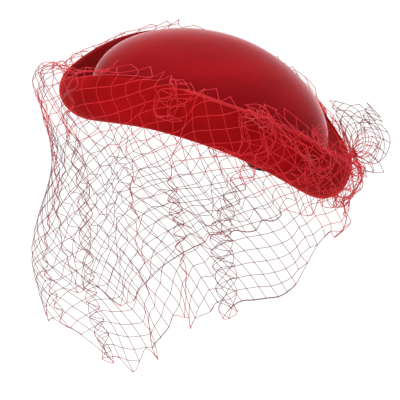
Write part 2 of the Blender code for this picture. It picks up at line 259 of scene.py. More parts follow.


# Cuff: a bias strip of the same velvet over wired buckram, rolled under at its foot, stitched to the
# crown inside, and turned up outside. It is low at the front and back and arches high at each side.
# The cuff's velvet: the crown's velvet with its reds painted lighter, as painted light on the cuff, and a
# redder sheen tint
CUFF_NAP_PAINTED_LIGHTER = Nap((0.200, 0.0014, 0.002, 1), (0.300, 0.0023, 0.004, 1), (1.0, 0.07, 0.07, 1))
# Painted light on the cuff: a lighter red, and the shares of it that are painted on the inner face, where
# the gully lies in shade, and on the rolled rim as a sheen line
VELVET_PAINTED_LIGHT = (0.520, 0.030, 0.035, 1)
INNER_PAINTED_LIGHT = 0.85
RIM_PAINTED_SHEEN = 0.5
CUFF_WALL = 2.5 * MM
HALF_WALL = CUFF_WALL / 2
LIP_HEIGHT = 8 * MM
LIP_CLEARANCE = 0.45 * MM
LIP_STEPS = 4
ROLL_STEPS = 10
WALL_STEPS = 14
EDGE_STEPS = 8
CUFF_BELLY = CuffLine(1.00, 1.00, 0.97, 0.49, 0.57, 0.29, 2.6, 2.0, 1.85, 2.05)
CUFF_RIM = CuffLine(0.983, 0.965, 1.00, 0.70, 0.94, 1.00, 2.9, 2.2, 1.66, 2.12)


def between(start, end, share):
    return start + (end - start) * share


def rolled(fold, end, turn):
    """The ring so far round the quarter roll that goes from the fold to its end."""
    row = between(fold, end, math.sin(turn))
    row[:, 2] = end[:, 2] + (fold[:, 2] - end[:, 2]) * math.cos(turn)
    return row


def cuff_rows(angle):
    """Rings of the cuff's outer face, from the lip inside the crown, round the foot and up to the rim."""
    fold = cuff_line(CUFF_FOLD, angle)
    belly = cuff_line(CUFF_BELLY, angle)
    rim = cuff_line(CUFF_RIM, angle)
    inset = CROWN_WALL + LIP_CLEARANCE + CUFF_WALL
    foot = crown_face(angle, fold[:, 2] + LIP_FOOT, inset)
    top = crown_face(angle, fold[:, 2] + LIP_FOOT + LIP_HEIGHT, inset)
    rows = [between(top, foot, step / LIP_STEPS) for step in range(LIP_STEPS)]
    quarters = np.pi / 2 * np.arange(ROLL_STEPS) / ROLL_STEPS
    rows += [rolled(fold, foot, np.pi / 2 - turn) for turn in quarters]
    rows += [rolled(fold, belly, turn) for turn in quarters]
    upright = np.stack([belly[:, 0], belly[:, 1], rim[:, 2]], axis=-1)
    for step in range(WALL_STEPS + 1):
        share = step / WALL_STEPS
        rows.append(between(between(belly, upright, share), between(upright, rim, share), share))
    return np.array(rows)


def unit(vectors):
    return vectors / np.maximum(np.linalg.norm(vectors, axis=-1, keepdims=True), 1e-12)


def sheet_normals(rows):
    """Unit normals of a closed sheet of rings, and the directions up its rows."""
    along = np.gradient(rows, axis=0)
    across = np.roll(rows, -1, axis=1) - np.roll(rows, 1, axis=1)
    return unit(np.cross(across, along)), unit(along)


def rounded_edge(face, out, up):
    """The rings round a wall's edge, whose outer face ends at the given ring."""
    middle = face - out * HALF_WALL
    turns_over = np.pi * np.arange(1, EDGE_STEPS) / EDGE_STEPS
    return [middle + HALF_WALL * (out * math.cos(turn) + up * math.sin(turn)) for turn in turns_over]


outer = cuff_rows(turns)
outward, upward = sheet_normals(outer)
outer[-1] -= upward[-1] * HALF_WALL
outer[0] += upward[0] * HALF_WALL
inner = outer - outward * CUFF_WALL
rim_edge = rounded_edge(outer[-1], outward[-1], upward[-1])
lip_edge = rounded_edge(outer[0], outward[0], -upward[0])
shell = [*outer, *rim_edge, *inner[::-1], *lip_edge[::-1]]
cuff_faces = ring_faces(len(shell), ROUND_STEPS, closed=True)
cuff = new_piece("velvet_cuff", as_worn(shell), cuff_faces, velvet("cuff_velvet", CUFF_NAP_PAINTED_LIGHTER, VELVET_PAINTED_LIGHT))
# Painted light: the cuff's inner face and its rim edge get shares of the lighter red
painted_light_share = np.zeros((len(shell), ROUND_STEPS))
painted_light_share[len(outer):] = INNER_PAINTED_LIGHT
painted_light_share[len(outer) + 1:len(outer) + EDGE_STEPS - 2] = RIM_PAINTED_SHEEN
painted_light_edge = cuff.data.attributes.new("painted_light_edge", "FLOAT", "POINT")
painted_light_edge.data.foreach_set("value", painted_light_share.ravel())
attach(cuff, "root")
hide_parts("cuff")


# Veil: one strip of knotted nylon netting, drawn into folds and sewn along the cuff's rim. Its raw top
# edge springs in over the gully, it hangs free to its hem, and its two ends are bunched over the cuff.
NET_CELL = 10.5 * MM
NET_THREAD = 0.46 * MM
NET_KNOT = 0.95 * MM
NET_WIDE = 820 * MM
NET_TOP = 42 * MM
NET_DEEP = 262 * MM
NET_SPARE = 6
NET_SEED = 7
DIAMOND_LEAN = 45
KNOT_STRAY = 0.05
THREAD_SIDES = 5
THREAD_STEPS = 3
OFF_EVERY_THREAD = (0.3, 0.2, 1.0)
FIBRE_FINENESS = 5200.0
FIBRE_HEIGHT = 0.1 * MM
VEIL_REACH = 115 * MM
VEIL_DROP = 150 * MM
SEAM_DEGREES = 190
RIM_CLEARANCE = 2.8 * MM
RIM_LEAN = 0.3
RIM_SWELL = 0.8
RIM_LIFT = 0.35
SEWN_BAND = 5 * MM

# The thread's colour painted in shade, as it looks backlit in the open, and painted lit red, with the
# velvet's red light on it, which it takes nearer the velvet than these distances and where its cells are
# drawn together to these shares of their open area
NET_PAINTED_SHADE = (0.200, 0.060, 0.080, 1)
NET_PAINTED_LIT_RED = (0.510, 0.008, 0.016, 1)
GLOW_NEAR = 13 * MM
GLOW_FAR = 21 * MM
CROWDED = 0.22
UNCROWDED = 0.60
CROWDED_RED = 0.75

# Levels of the veil: share of the way down from the rim to the hem, and how far its broad folds open
VeilLine = namedtuple("VeilLine", "share fold")
OVER_RIM = VeilLine(0.09, 0.0)
BESIDE_CUFF = VeilLine(0.22, 0.0)
UPPER = VeilLine(0.40, 0.3)
LOWER = VeilLine(0.68, 1.0)
HEM = VeilLine(1.00, 1.4)
TOP_SHARE = 0.12
TOP_LEVELS = 6
TOP_RISE = 0.35
LONGEST_SHARE = 1.08
HANGING_LEVELS = 43
ROUND_SAMPLES = 1441

# The surface that the veil hangs on: degrees from the front, puff over the cuff, and reach and drop at
# upper, lower and hem, in shares of the veil's own. The far side puffs less, within so many degrees
FLAT_SHARE = 0.9
FLAT_DEGREES = 14
VeilRow = namedtuple(
    "VeilRow", "angle puff upper_reach upper_drop lower_reach lower_drop hem_reach hem_drop"
)
VEIL_ROWS = (
    VeilRow(0, 0.190, 0.95, 0.00, 1.14, 0.47, 0.99, 0.96),
    VeilRow(24, 0.130, 0.94, -0.02, 1.05, 0.47, 0.88, 0.94),
    VeilRow(48, 0.050, 0.84, -0.06, 0.84, 0.49, 0.71, 1.02),
    VeilRow(74, 0.026, 0.75, -0.12, 0.70, 0.41, 0.61, 0.84),
    VeilRow(105, 0.026, 0.76, -0.07, 0.72, 0.32, 0.66, 0.73),
    VeilRow(136, 0.030, 0.90, 0.07, 0.91, 0.33, 0.87, 0.59),
    VeilRow(158, 0.034, 0.99, 0.19, 1.00, 0.28, 0.94, 0.36),
    VeilRow(180, 0.038, 1.02, 0.21, 1.02, 0.26, 0.97, 0.30),
)

# Broad folds: degrees round, depth in shares of the reach, and width in degrees
VeilFold = namedtuple("VeilFold", "angle depth width")
VEIL_FOLDS = (
    VeilFold(12, 0.035, 9),
    VeilFold(34, -0.055, 11),
    VeilFold(60, 0.030, 12),
    VeilFold(104, 0.050, 12),
    VeilFold(140, -0.030, 14),
    VeilFold(-20, -0.040, 12),
    VeilFold(-52, 0.045, 14),
    VeilFold(-88, -0.030, 14),
    VeilFold(-125, 0.040, 15),
)

# Pleats, where the net doubles back: degrees at rim, upper, lower and hem, width and spare net in degrees,
# shares of the spare at rim and hem, and stand-off in mm. They carry the net beside them a few widths out
Pleat = namedtuple("Pleat", "rim upper lower hem width spare top foot out")
PLEAT_LEVELS = (0.0, 0.25, 0.40, 0.70)
PLEAT_TURN = 1.25
PLEAT_CARRY = 3
PLEAT_RISE = 15 * MM
PLEATS = (
    Pleat(35, 35, 37, 39, 6, 12, 0.9, 1.3, 6),
    Pleat(20, 20, 23, 21, 6, 9, 1.0, 1.0, 5),
    Pleat(60, 60, 60, 62, 7, 7, 0.2, 1.2, 4),
    Pleat(76, 78, 82, 84, 7, 7, 1.0, 0.6, 3),
    Pleat(104, 109, 99, 106, 6, 14, 0.9, 1.1, 6),
    Pleat(160, 160, 160, 160, 7, 4, 1.0, 0.6, 4),
    Pleat(-24, -24, -28, -24, 9, 4, 0.7, 1.0, 4),
    Pleat(-62, -60, -56, -52, 10, 4, 0.7, 1.0, 4),
    Pleat(-108, -104, -100, -104, 10, 4, 0.7, 1.0, 4),
    Pleat(-150, -150, -146, -150, 8, 5, 0.9, 0.6, 4),
)

# Where the cells lie askew: degrees round, mm down, mm across, degrees of turn and share of widening,
# which costs them height
Skew = namedtuple("Skew", "angle down across turn wide")
WIDE_LOSS = 1.5
SKEWS = (
    Skew(50, 15, 80, 19, 0.0),
    Skew(90, 15, 60, 22, 0.0),
    Skew(88, 105, 75, 10, 0.32),
    Skew(52, 235, 60, 35, 0.0),
    Skew(130, 128, 90, 4, 0.0),
    Skew(-70, 60, 70, 30, 0.0),
    Skew(-80, 130, 70, 0, 0.2),
    Skew(-140, 90, 70, 25, 0.0),
)

# Points where the net is drawn together and tacked: degrees round, mm down, mm across and pull
Tack = namedtuple("Tack", "angle down across pull")
TACKS = (
    Tack(67, 44, 7, 0.6),
    Tack(35, 25, 9, 0.6),
    Tack(104, 66, 9, 0.5),
)

# The raw top edge: degrees round, width in degrees and how far in it springs, in mm. It also rises, by
# a share of its depth
TopEdge = namedtuple("TopEdge", "angle width reach")
TOP_EDGE_LEAST = 3 * MM
TOP_EDGE_RISE = 0.55
TOP_EDGES = (
    TopEdge(42, 7, 17),
    TopEdge(54, 5, 8),
    TopEdge(64, 4, 12),
    TopEdge(84, 6, 8),
    TopEdge(122, 16, 7),
    TopEdge(150, 12, 5),
    TopEdge(-60, 18, 12),
    TopEdge(-120, 16, 14),
)

# The hem's lobes: degrees from the front and how much longer the strip hangs there, in mm
Trim = namedtuple("Trim", "angle extra")
HEM_SNAP = 3.6 * MM
HEM_SAG = 0.5 * MM
TRIMS = (
    Trim(0, -12), Trim(20, -10), Trim(31, -11), Trim(37, 0), Trim(50, 0), Trim(60, 6), Trim(67, 9),
    Trim(71, 5), Trim(75, -7), Trim(82, -11), Trim(90, -8), Trim(101, -15), Trim(110, -9), Trim(120, 0),
    Trim(130, 5), Trim(140, 2), Trim(150, 0), Trim(160, -2), Trim(180, 0),
)

# Where net is bunched over the cuff, at the strip's near end, in a gathered fold and at its far end:
# degrees from and to, mm down from and to, mm of net taken up each way, and stand-off in mm
Bunch = namedtuple("Bunch", "start end top foot wide long out seed")
BUNCH_LEAN = 20
BUNCH_WAVES = (95 * MM, 52 * MM, 33 * MM)
BUNCH_SWAY = 4.5
BUNCH_DROP = 7 * MM
BUNCH_PUFF = 0.5
BUNCH_LEAST = 0.8 * MM
BUNCH_HEM = 14 * MM
BUNCHES = (
    Bunch(93, 167, -12, 44, 280, 105, 3.2, 3),
    Bunch(62, 76, -3, 32, 60, 52, 1.4, 10),
    Bunch(-166, -118, -5, 30, 120, 55, 1.6, 5),
)

# How threads keep the net's shape: steps between knots along each family, least and most distance in
# cells, and stiffness. A hold is how firmly knots keep their first places in each round of settling
Link = namedtuple("Link", "across along least most stiffness")
NET_LINKS = (
    Link(1, 0, 0.94, 1.00, 1.0),
    Link(0, 1, 0.94, 1.00, 1.0),
    Link(2, 0, 1.60, 2.00, 0.3),
    Link(0, 2, 1.60, 2.00, 0.3),
    Link(1, 1, 0.45, 1.95, 0.3),
    Link(1, -1, 0.45, 1.95, 0.3),
)
SETTLE_PACE = 1.3
VEIL_ROUNDS = 200
BUNCH_ROUNDS = 120
SEWN_HOLD = 0.5
HANGING_HOLD = 0.03
BUNCH_HOLD = 0.06

# Knots further inside the cuff than this share of its reach lie over the crown, and stay there
CUFF_DEPTH_SHARE = 0.8


def turned(degrees):
    """Degrees brought between -180 and 180."""
    return (degrees + 180) % 360 - 180


def hump(degrees, middle, width):
    return np.exp(-((turned(degrees - middle) / width) ** 2))


def veil_rows_at(degrees):
    """The table's columns at each angle, eased from row to row."""
    at = np.abs(turned(degrees))
    table = np.array(VEIL_ROWS)
    k = np.clip(np.searchsorted(table[:, 0], at, side="right") - 1, 0, len(table) - 2)
    low, high = table[k], table[k + 1]
    share = (at - low[..., 0]) / (high[..., 0] - low[..., 0])
    share = (share**2 * (3 - 2 * share))[..., None]
    return np.moveaxis(low + (high - low) * share, -1, 0)


def level_out(angle):
    """Level directions away from the hat's middle, at angles from 0 at the front."""
    return np.stack([np.sin(angle), -np.cos(angle), 0 * angle], axis=-1)


def curve_point(start, leave, end, arrive, t):
    """The point at t of the smooth curve between two points that has the given slopes at them."""
    return (
        start * (2 * t**3 - 3 * t**2 + 1)
        + leave * (t**3 - 2 * t**2 + t)
        + end * (3 * t**2 - 2 * t**3)
        + arrive * (t**3 - t**2)
    )


def through(shares, places, at):
    """The point at one share of the smooth curve through places, which lie at the given shares."""
    last = len(shares) - 1
    k = int(np.clip(np.searchsorted(shares, at, side="right") - 1, 0, last - 1))
    before, after = max(k - 1, 0), min(k + 2, last)
    width = shares[k + 1] - shares[k]
    start, end = places[k], places[k + 1]
    leave = (end - places[before]) * width / (shares[k + 1] - shares[before])
    arrive = (places[after] - start) * width / (shares[after] - shares[k])
    return curve_point(start, leave, end, arrive, (at - shares[k]) / width)


def veil_lines(degrees, shares):
    """The surface that the veil hangs on: for each share of the way down, its point at each angle."""
    angle = np.radians(degrees)
    _, puff, upper_reach, upper_drop, lower_reach, lower_drop, hem_reach, hem_drop = veil_rows_at(degrees)
    puff = puff * (1 - FLAT_SHARE * np.clip(-turned(degrees) / FLAT_DEGREES, 0, 1))
    rim = cuff_line(CUFF_RIM, angle)
    belly = cuff_line(CUFF_BELLY, angle)
    across = unit(rim * (1, 1, 0))
    up = np.array((0.0, 0.0, 1.0))
    swell = (puff * VEIL_REACH)[:, None]
    crest = rim + (up - RIM_LEAN * across) * RIM_CLEARANCE
    top = crest - (across - up * TOP_RISE) * NET_TOP
    over = rim + across * (RIM_CLEARANCE + RIM_SWELL * swell) + up * RIM_LIFT * swell
    beside = belly + across * (RIM_CLEARANCE + swell)
    fold = sum(crease.depth * hump(degrees, crease.angle, crease.width) for crease in VEIL_FOLDS)

    def hung(line, reach, depth):
        out = level_out(angle) * ((reach + fold * line.fold) * VEIL_REACH)[:, None]
        return out - up * (depth * VEIL_DROP)[:, None]

    places = [as_worn(place) for place in (top, crest, over, beside)] + [
        hung(UPPER, upper_reach, upper_drop),
        hung(LOWER, lower_reach, lower_drop),
        hung(HEM, hem_reach, hem_drop),
    ]
    stations = (-TOP_SHARE, 0.0, OVER_RIM.share, BESIDE_CUFF.share, UPPER.share, LOWER.share, HEM.share)
    return np.array([through(stations, places, share) for share in shares])


down_shares = np.concatenate([
    np.linspace(-TOP_SHARE, 0, TOP_LEVELS, endpoint=False), np.linspace(0, LONGEST_SHARE, HANGING_LEVELS)
])
rim_level = int(np.argmin(np.abs(down_shares)))


def hang(degrees, down, out):
    """Points of the veil so far down from the rim along the net, and how much net hangs below each."""
    lines = veil_lines(degrees, down_shares)
    steps = np.linalg.norm(np.diff(lines, axis=0), axis=2)
    run = np.concatenate([np.zeros((1, len(degrees))), np.cumsum(steps, axis=0)])
    run -= run[rim_level]
    hem_run = np.array([np.interp(HEM.share, down_shares, column) for column in run.T])
    k = np.clip((run <= down).sum(axis=0) - 1, 0, len(run) - 2)
    which = np.arange(len(degrees))
    share = ((down - run[k, which]) / (run[k + 1, which] - run[k, which]))[:, None]
    points = lines[k, which] * (1 - share) + lines[k + 1, which] * share
    return points + level_out(np.radians(degrees)) * out[:, None], hem_run - down


round_degrees = np.linspace(SEAM_DEGREES - 360, SEAM_DEGREES, ROUND_SAMPLES)
net_to_each = 1 + sum(
    pleat.spare / (pleat.width * math.sqrt(math.pi)) * hump(round_degrees, pleat.upper, pleat.width)
    for pleat in PLEATS
)
net_used = np.concatenate([[0], np.cumsum((net_to_each[1:] + net_to_each[:-1]) / 2)])
net_used = NET_WIDE * (net_used / net_used[-1] - 0.5)


def pleated(x, down):
    """Degrees round the hat and stand-off of the net that is x metres along its strip."""
    degrees = np.interp(x, net_used, round_degrees)
    level = np.clip(down / NET_DEEP, 0, 1)
    moved, out = np.zeros_like(degrees), np.zeros_like(degrees)
    for pleat in PLEATS:
        middle = np.interp(level, PLEAT_LEVELS, (pleat.rim, pleat.upper, pleat.lower, pleat.hem))
        away = turned(degrees - pleat.upper) / pleat.width
        near = np.exp(-(away**2))
        depth = pleat.top + (pleat.foot - pleat.top) * level
        moved += (middle - pleat.upper) * np.exp(-((away / PLEAT_CARRY) ** 2))
        moved -= PLEAT_TURN * pleat.spare * depth * away * near
        out += pleat.out * depth * MM * near
    return degrees + moved, out * np.clip(down / PLEAT_RISE, 0, 1)


def lattice(wide, top, foot, lean, draws, cell=NET_CELL):
    """Flat net of square cells whose two families of threads are the array's two axes."""
    side = int(math.hypot(wide, foot - top) / cell) + NET_SPARE
    m, n = np.meshgrid(np.arange(side) - side / 2, np.arange(side) - side / 2, indexing="ij")
    turn = math.radians(lean)
    x = cell * (m * math.cos(turn) - n * math.sin(turn) + draws.normal(0, KNOT_STRAY, m.shape))
    y = cell * (m * math.sin(turn) + n * math.cos(turn) + draws.normal(0, KNOT_STRAY, m.shape))
    return x, y + (top + foot) / 2


def beside_cuff(points):
    """Points in the hat's own frame, their angles, and the cuff's fold, belly and rim lines there."""
    x, y, z = np.moveaxis(points, -1, 0)
    hat_y = y * math.cos(HAT_TILT) - z * math.sin(HAT_TILT)
    hat_z = z * math.cos(HAT_TILT) + y * math.sin(HAT_TILT)
    angle = np.arctan2(x / CUFF_HALF_WIDTH, -hat_y / CUFF_FRONT)
    return x, hat_y, hat_z, angle, [cuff_line(line, angle) for line in (CUFF_FOLD, CUFF_BELLY, CUFF_RIM)]


def clear_of_hat(points):
    """Moves knots that have come inside the cuff's wall out to its face."""
    x, hat_y, hat_z, _, (fold, belly, rim) = beside_cuff(points)
    low = np.clip((hat_z - fold[..., 2]) / (belly[..., 2] - fold[..., 2]), 0, 1)
    fold_reach = np.hypot(fold[..., 0], fold[..., 1])
    belly_reach = np.hypot(belly[..., 0], belly[..., 1])
    least = fold_reach + (belly_reach - fold_reach) * np.sqrt(1 - (1 - low) ** 2) + NET_KNOT
    reach = np.maximum(np.hypot(x, hat_y), MM)
    beside = (hat_z > fold[..., 2]) & (hat_z < rim[..., 2])
    buried = beside & (reach < least) & (reach > CUFF_DEPTH_SHARE * least)
    grow = np.where(buried, least / reach, 1)
    return as_worn(np.stack([x * grow, hat_y * grow, hat_z], axis=-1))


def close_to_velvet(points):
    """How much painted red light from the velvet each point gets, from 0 in the open to 1 close over the
    hat.
    """
    x, hat_y, hat_z, angle, (fold, belly, rim) = beside_cuff(points)
    reach = np.hypot(x, hat_y)
    crown_side = crown_face(angle, CROWN_SHOULDER + 0 * angle)
    above = np.where(reach > np.hypot(crown_side[..., 0], crown_side[..., 1]), hat_z - rim[..., 2], 0)
    gap = np.maximum(reach - np.hypot(belly[..., 0], belly[..., 1]), fold[..., 2] - hat_z)
    gap = np.maximum(gap, above)
    return 1 - np.clip((gap - GLOW_NEAR) / (GLOW_FAR - GLOW_NEAR), 0, 1)


def crowding(points, cell):
    """How tightly the cells are drawn together at each knot, from 0 where they lie open to 1."""
    area = np.linalg.norm(np.cross(np.gradient(points, axis=0), np.gradient(points, axis=1)), axis=-1)
    return 1 - np.clip((area / cell**2 - CROWDED) / (UNCROWDED - CROWDED), 0, 1)


def settle(points, kept, hold, rounds, cell=NET_CELL):
    """Draws a net's threads to their own lengths and eases its folds, with its knots held in place."""
    home = points.copy()
    rows, columns = kept.shape
    for _ in range(rounds):
        move = np.zeros_like(points)
        weight = np.full(kept.shape, 1e-9)
        for link in NET_LINKS:
            left = max(-link.along, 0)
            right = max(link.along, 0)
            first = (slice(0, rows - link.across), slice(left, columns - right))
            second = (slice(link.across, rows), slice(right, columns - left))
            span = points[second] - points[first]
            size = np.maximum(np.linalg.norm(span, axis=-1), 1e-9)
            both = kept[first] & kept[second]
            wrong = size - np.clip(size, link.least * cell, link.most * cell)
            push = span * (0.5 * link.stiffness * both * wrong / size)[..., None]
            move[first] += push
            move[second] -= push
            weight[first] += both * link.stiffness
            weight[second] += both * link.stiffness
        points = points + SETTLE_PACE * move / weight[..., None]
        points = clear_of_hat(points + hold[..., None] * (home - points))
    return points


def reddened(points, cell=NET_CELL):
    """The knots with their share of painted lit red as a fourth number."""
    red = np.maximum(close_to_velvet(points), CROWDED_RED * crowding(points, cell))
    return np.concatenate([points, red[..., None]], axis=-1)


def askew(x, y):
    """The flat strip's knots, with its cells turned and widened in places."""
    for skew in SKEWS:
        middle = np.interp(skew.angle, round_degrees, net_used)
        off_x, off_y = x - middle, y - skew.down * MM
        near = np.exp(-(off_x**2 + off_y**2) / (skew.across * MM) ** 2)
        turn = math.radians(skew.turn) * near
        off_x = off_x * (1 + skew.wide * near)
        off_y = off_y * (1 - WIDE_LOSS * skew.wide * near)
        x = middle + off_x * np.cos(turn) - off_y * np.sin(turn)
        y = skew.down * MM + off_x * np.sin(turn) + off_y * np.cos(turn)
    return x, y


def draped(draws):
    """The strip's knots as it hangs and which of them are left after it is cut, and its hem thread."""
    x, y = askew(*lattice(NET_WIDE, -NET_TOP, NET_DEEP, DIAMOND_LEAN, draws))
    shape = x.shape
    x, y = x.ravel(), y.ravel()
    inside = (np.abs(x) < NET_WIDE / 2) & (y > -NET_TOP)
    degrees, out = pleated(x, y)
    _, below = hang(degrees, y, out)
    from_front = np.abs(turned(degrees))
    below += np.interp(from_front, [trim.angle for trim in TRIMS], [trim.extra for trim in TRIMS]) * MM
    springs = sum(edge.reach * MM * hump(degrees, edge.angle, edge.width) for edge in TOP_EDGES)
    kept = inside & (y > -(TOP_EDGE_LEAST + springs)) & (below > -HEM_SNAP)
    y = np.clip(y + np.minimum(below, 0), -NET_TOP, NET_DEEP)
    points, _ = hang(degrees, y, out)
    points[:, 2] += TOP_EDGE_RISE * np.maximum(-y, 0)
    hold = np.where(np.abs(y) < SEWN_BAND, SEWN_HOLD, HANGING_HOLD)
    for tack in TACKS:
        (spot,), _ = hang(np.array([float(tack.angle)]), tack.down * MM, np.zeros(1))
        near = tack.pull * np.exp(-np.sum((points - spot) ** 2, axis=1) / (tack.across * MM) ** 2)
        points += (spot - points) * near[:, None]
    kept = kept.reshape(shape)
    points = settle(points.reshape(*shape, 3), kept, hold.reshape(shape), VEIL_ROUNDS)
    whole = np.zeros(shape, bool)
    whole[1:-1, 1:-1] = kept[:-2, 1:-1] & kept[2:, 1:-1] & kept[1:-1, :-2] & kept[1:-1, 2:]
    low = (below < NET_CELL) & (np.abs(x) < NET_WIDE / 2 - NET_CELL)
    edge = kept & ~whole & low.reshape(shape)
    points = reddened(points)
    hem = points[edge][np.argsort(x.reshape(shape)[edge])][:, None] - (0, 0, HEM_SAG, 0)
    return [(points, kept), (hem, np.full(hem.shape[:2], True))]


def bunched(bunch):
    """A stretch of net that is bunched over the cuff in random folds."""
    draws = np.random.default_rng(bunch.seed)
    wide, long = bunch.wide * MM, bunch.long * MM
    x, y = lattice(wide, -long / 2, long / 2, BUNCH_LEAN, draws)
    kept = (np.abs(x) < wide / 2) & (np.abs(y) < long / 2)
    waves = np.zeros((3, *x.shape))
    for k in range(3):
        for wave in BUNCH_WAVES:
            start, heading = draws.uniform(0, 2 * math.pi, 2)
            along = x * math.cos(heading) + y * math.sin(heading)
            waves[k] += wave / BUNCH_WAVES[0] * np.sin(2 * math.pi * along / wave + start)
    degrees = bunch.start + (bunch.end - bunch.start) * (x / wide + 0.5) + BUNCH_SWAY * waves[0]
    down = (bunch.top + (bunch.foot - bunch.top) * (y / long + 0.5)) * MM + BUNCH_DROP * waves[1]
    top, foot = bunch.top * MM, bunch.foot * MM
    down = top + np.abs(down - top)
    down = foot - np.abs(foot - down)
    out = np.maximum(bunch.out * MM * (1 + BUNCH_PUFF * waves[2]), BUNCH_LEAST)
    points, below = hang(degrees.ravel(), down.ravel(), out.ravel())
    points[:, 2] += TOP_EDGE_RISE * np.maximum(-down.ravel(), 0)
    kept &= below.reshape(x.shape) > BUNCH_HEM
    hold = np.full(x.shape, BUNCH_HOLD)
    return reddened(settle(points.reshape(*x.shape, 3), kept, hold, BUNCH_ROUNDS)), kept


def thread_tubes(points, kept):
    """A tube along each thread between two knots, curved on to the next: vertices, reds and faces."""
    runs = []
    for knots, there in ((points, kept), (points.swapaxes(0, 1), kept.T)):
        both = there[:-1] & there[1:]
        start, end = knots[:-1], knots[1:]
        before, after = 2 * start - end, 2 * end - start
        before[1:] = np.where(there[:-2, :, None], knots[:-2], before[1:])
        after[:-1] = np.where(there[2:, :, None], knots[2:], after[:-1])
        leave, arrive = (end - before) / 2, (after - start) / 2
        stations = np.arange(THREAD_STEPS + 1) / THREAD_STEPS
        steps = [curve_point(start, leave, end, arrive, t) for t in stations]
        runs.append(np.stack(steps, axis=2)[both])
    runs = np.concatenate(runs)
    reds = np.repeat(runs[..., 3], THREAD_SIDES)
    runs = runs[..., :3]
    along = unit(runs[:, -1] - runs[:, 0])
    other = unit(np.cross(along, OFF_EVERY_THREAD))
    third = np.cross(along, other)
    turn = np.arange(THREAD_SIDES) * 2 * np.pi / THREAD_SIDES
    circle = np.cos(turn)[:, None] * other[:, None] + np.sin(turn)[:, None] * third[:, None]
    verts = runs[:, :, None] + NET_THREAD / 2 * circle[:, None]
    first = np.arange(len(runs))[:, None] * (THREAD_STEPS + 1) * THREAD_SIDES
    sides = np.array(ring_faces(THREAD_STEPS + 1, THREAD_SIDES))
    return verts.reshape(-1, 3), reds, (first[..., None] + sides[None]).reshape(-1, 4)


def knot_beads(points):
    """A small round bead at each knot: vertices, reds and triangles."""
    bm = bmesh.new()
    bmesh.ops.create_icosphere(bm, subdivisions=1, radius=NET_KNOT / 2)
    ball = np.array([v.co for v in bm.verts])
    sides = np.array([[v.index for v in face.verts] for face in bm.faces])
    bm.free()
    verts = (points[:, None, :3] + ball[None]).reshape(-1, 3)
    reds = np.repeat(points[:, 3], len(ball))
    return verts, reds, (np.arange(len(points))[:, None, None] * len(ball) + sides[None]).reshape(-1, 3)


def netting(name):
    """Thin nylon thread, painted greyish as shade in the open, and painted lit red where threads crowd and
    where the velvet is close behind.
    """
    material = bpy.data.materials.new(name)
    material.use_nodes = True
    tree = material.node_tree
    shader = tree.nodes["Principled BSDF"]
    shader.inputs["Roughness"].default_value = 0.5
    shader.inputs["Specular IOR Level"].default_value = 0.2
    painted_red_light = node(tree, "ShaderNodeAttribute", (-500, 0))
    painted_red_light.attribute_name = "painted_red_light"
    red = tree.nodes.new("ShaderNodeMix")
    red.data_type = "RGBA"
    # Painted light: the thread's painted shade in the open and its painted lit red, mixed by each point's
    # share
    red.inputs["A"].default_value = NET_PAINTED_SHADE
    red.inputs["B"].default_value = NET_PAINTED_LIT_RED
    tree.links.new(painted_red_light.outputs["Fac"], red.inputs["Factor"])
    tree.links.new(red.outputs["Result"], shader.inputs["Base Color"])
    twisted(tree, shader)
    return material


def twisted(tree, shader):
    """Fine bumps of the fibres that a thread is spun from."""
    place = node(tree, "ShaderNodeTexCoord", (-900, -300))
    ply = node(tree, "ShaderNodeTexNoise", (-700, -300), Scale=FIBRE_FINENESS, Detail=1.0)
    tree.links.new(place.outputs["Object"], ply.inputs["Vector"])
    twist = node(tree, "ShaderNodeBump", (-300, -300), Strength=0.3, Distance=FIBRE_HEIGHT)
    tree.links.new(ply.outputs["Fac"], twist.inputs["Height"])
    tree.links.new(twist.outputs["Normal"], shader.inputs["Normal"])


def net_piece(name, sheets, material):
    """One mesh of the threads and knots of all its sheets of net."""
    points, shades, faces = [], [], []
    for knots, kept in sheets:
        for verts, reds, sides in (thread_tubes(knots, kept), knot_beads(knots[kept])):
            faces += (sides + sum(len(part) for part in points)).tolist()
            points.append(verts)
            shades.append(reds)
    piece = new_piece(name, np.concatenate(points), faces, material)
    painted_red_light = piece.data.attributes.new("painted_red_light", "FLOAT", "POINT")
    painted_red_light.data.foreach_set("value", np.concatenate(shades))
    return piece


net_material = netting("netting")
veil_sheets = [*draped(np.random.default_rng(NET_SEED)), *(bunched(bunch) for bunch in BUNCHES)]
veil = net_piece("veil_netting", veil_sheets, net_material)
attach(veil, "root")
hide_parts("veil")


# Tuft: the strip's gathered edges, left loose past their binding so that they fan out at the back like
# a flower, one layer inside another.
TUFT_CELL = 7.5 * MM
TUFT_REACH = 34.5 * MM
TUFT_LIFT = 9 * MM
TUFT_LEAST_ROW = 0.35
TUFT_STEM = 1.6 * MM
TUFT_ROOT = 7 * MM
TUFT_RISE = math.radians(24)
TUFT_DEGREES = 190
TUFT_DOWN = 9 * MM
TUFT_START = 2 * MM
TUFT_ROUNDS = 12
TUFT_STEM_HOLD = 0.6
TUFT_FAN_HOLD = 0.3

# Each layer's fan: degrees up and down, degrees to either side, depth in degrees and number of its
# ruffles, cells round it and share of the reach
TuftLayer = namedtuple("TuftLayer", "spread lean ruffle ruffles cells reach seed")
TUFT_LAYERS = (
    TuftLayer(88, 30, 7, 4, 15, 1.00, 11),
    TuftLayer(50, 12, 8, 3, 6, 0.95, 12),
)

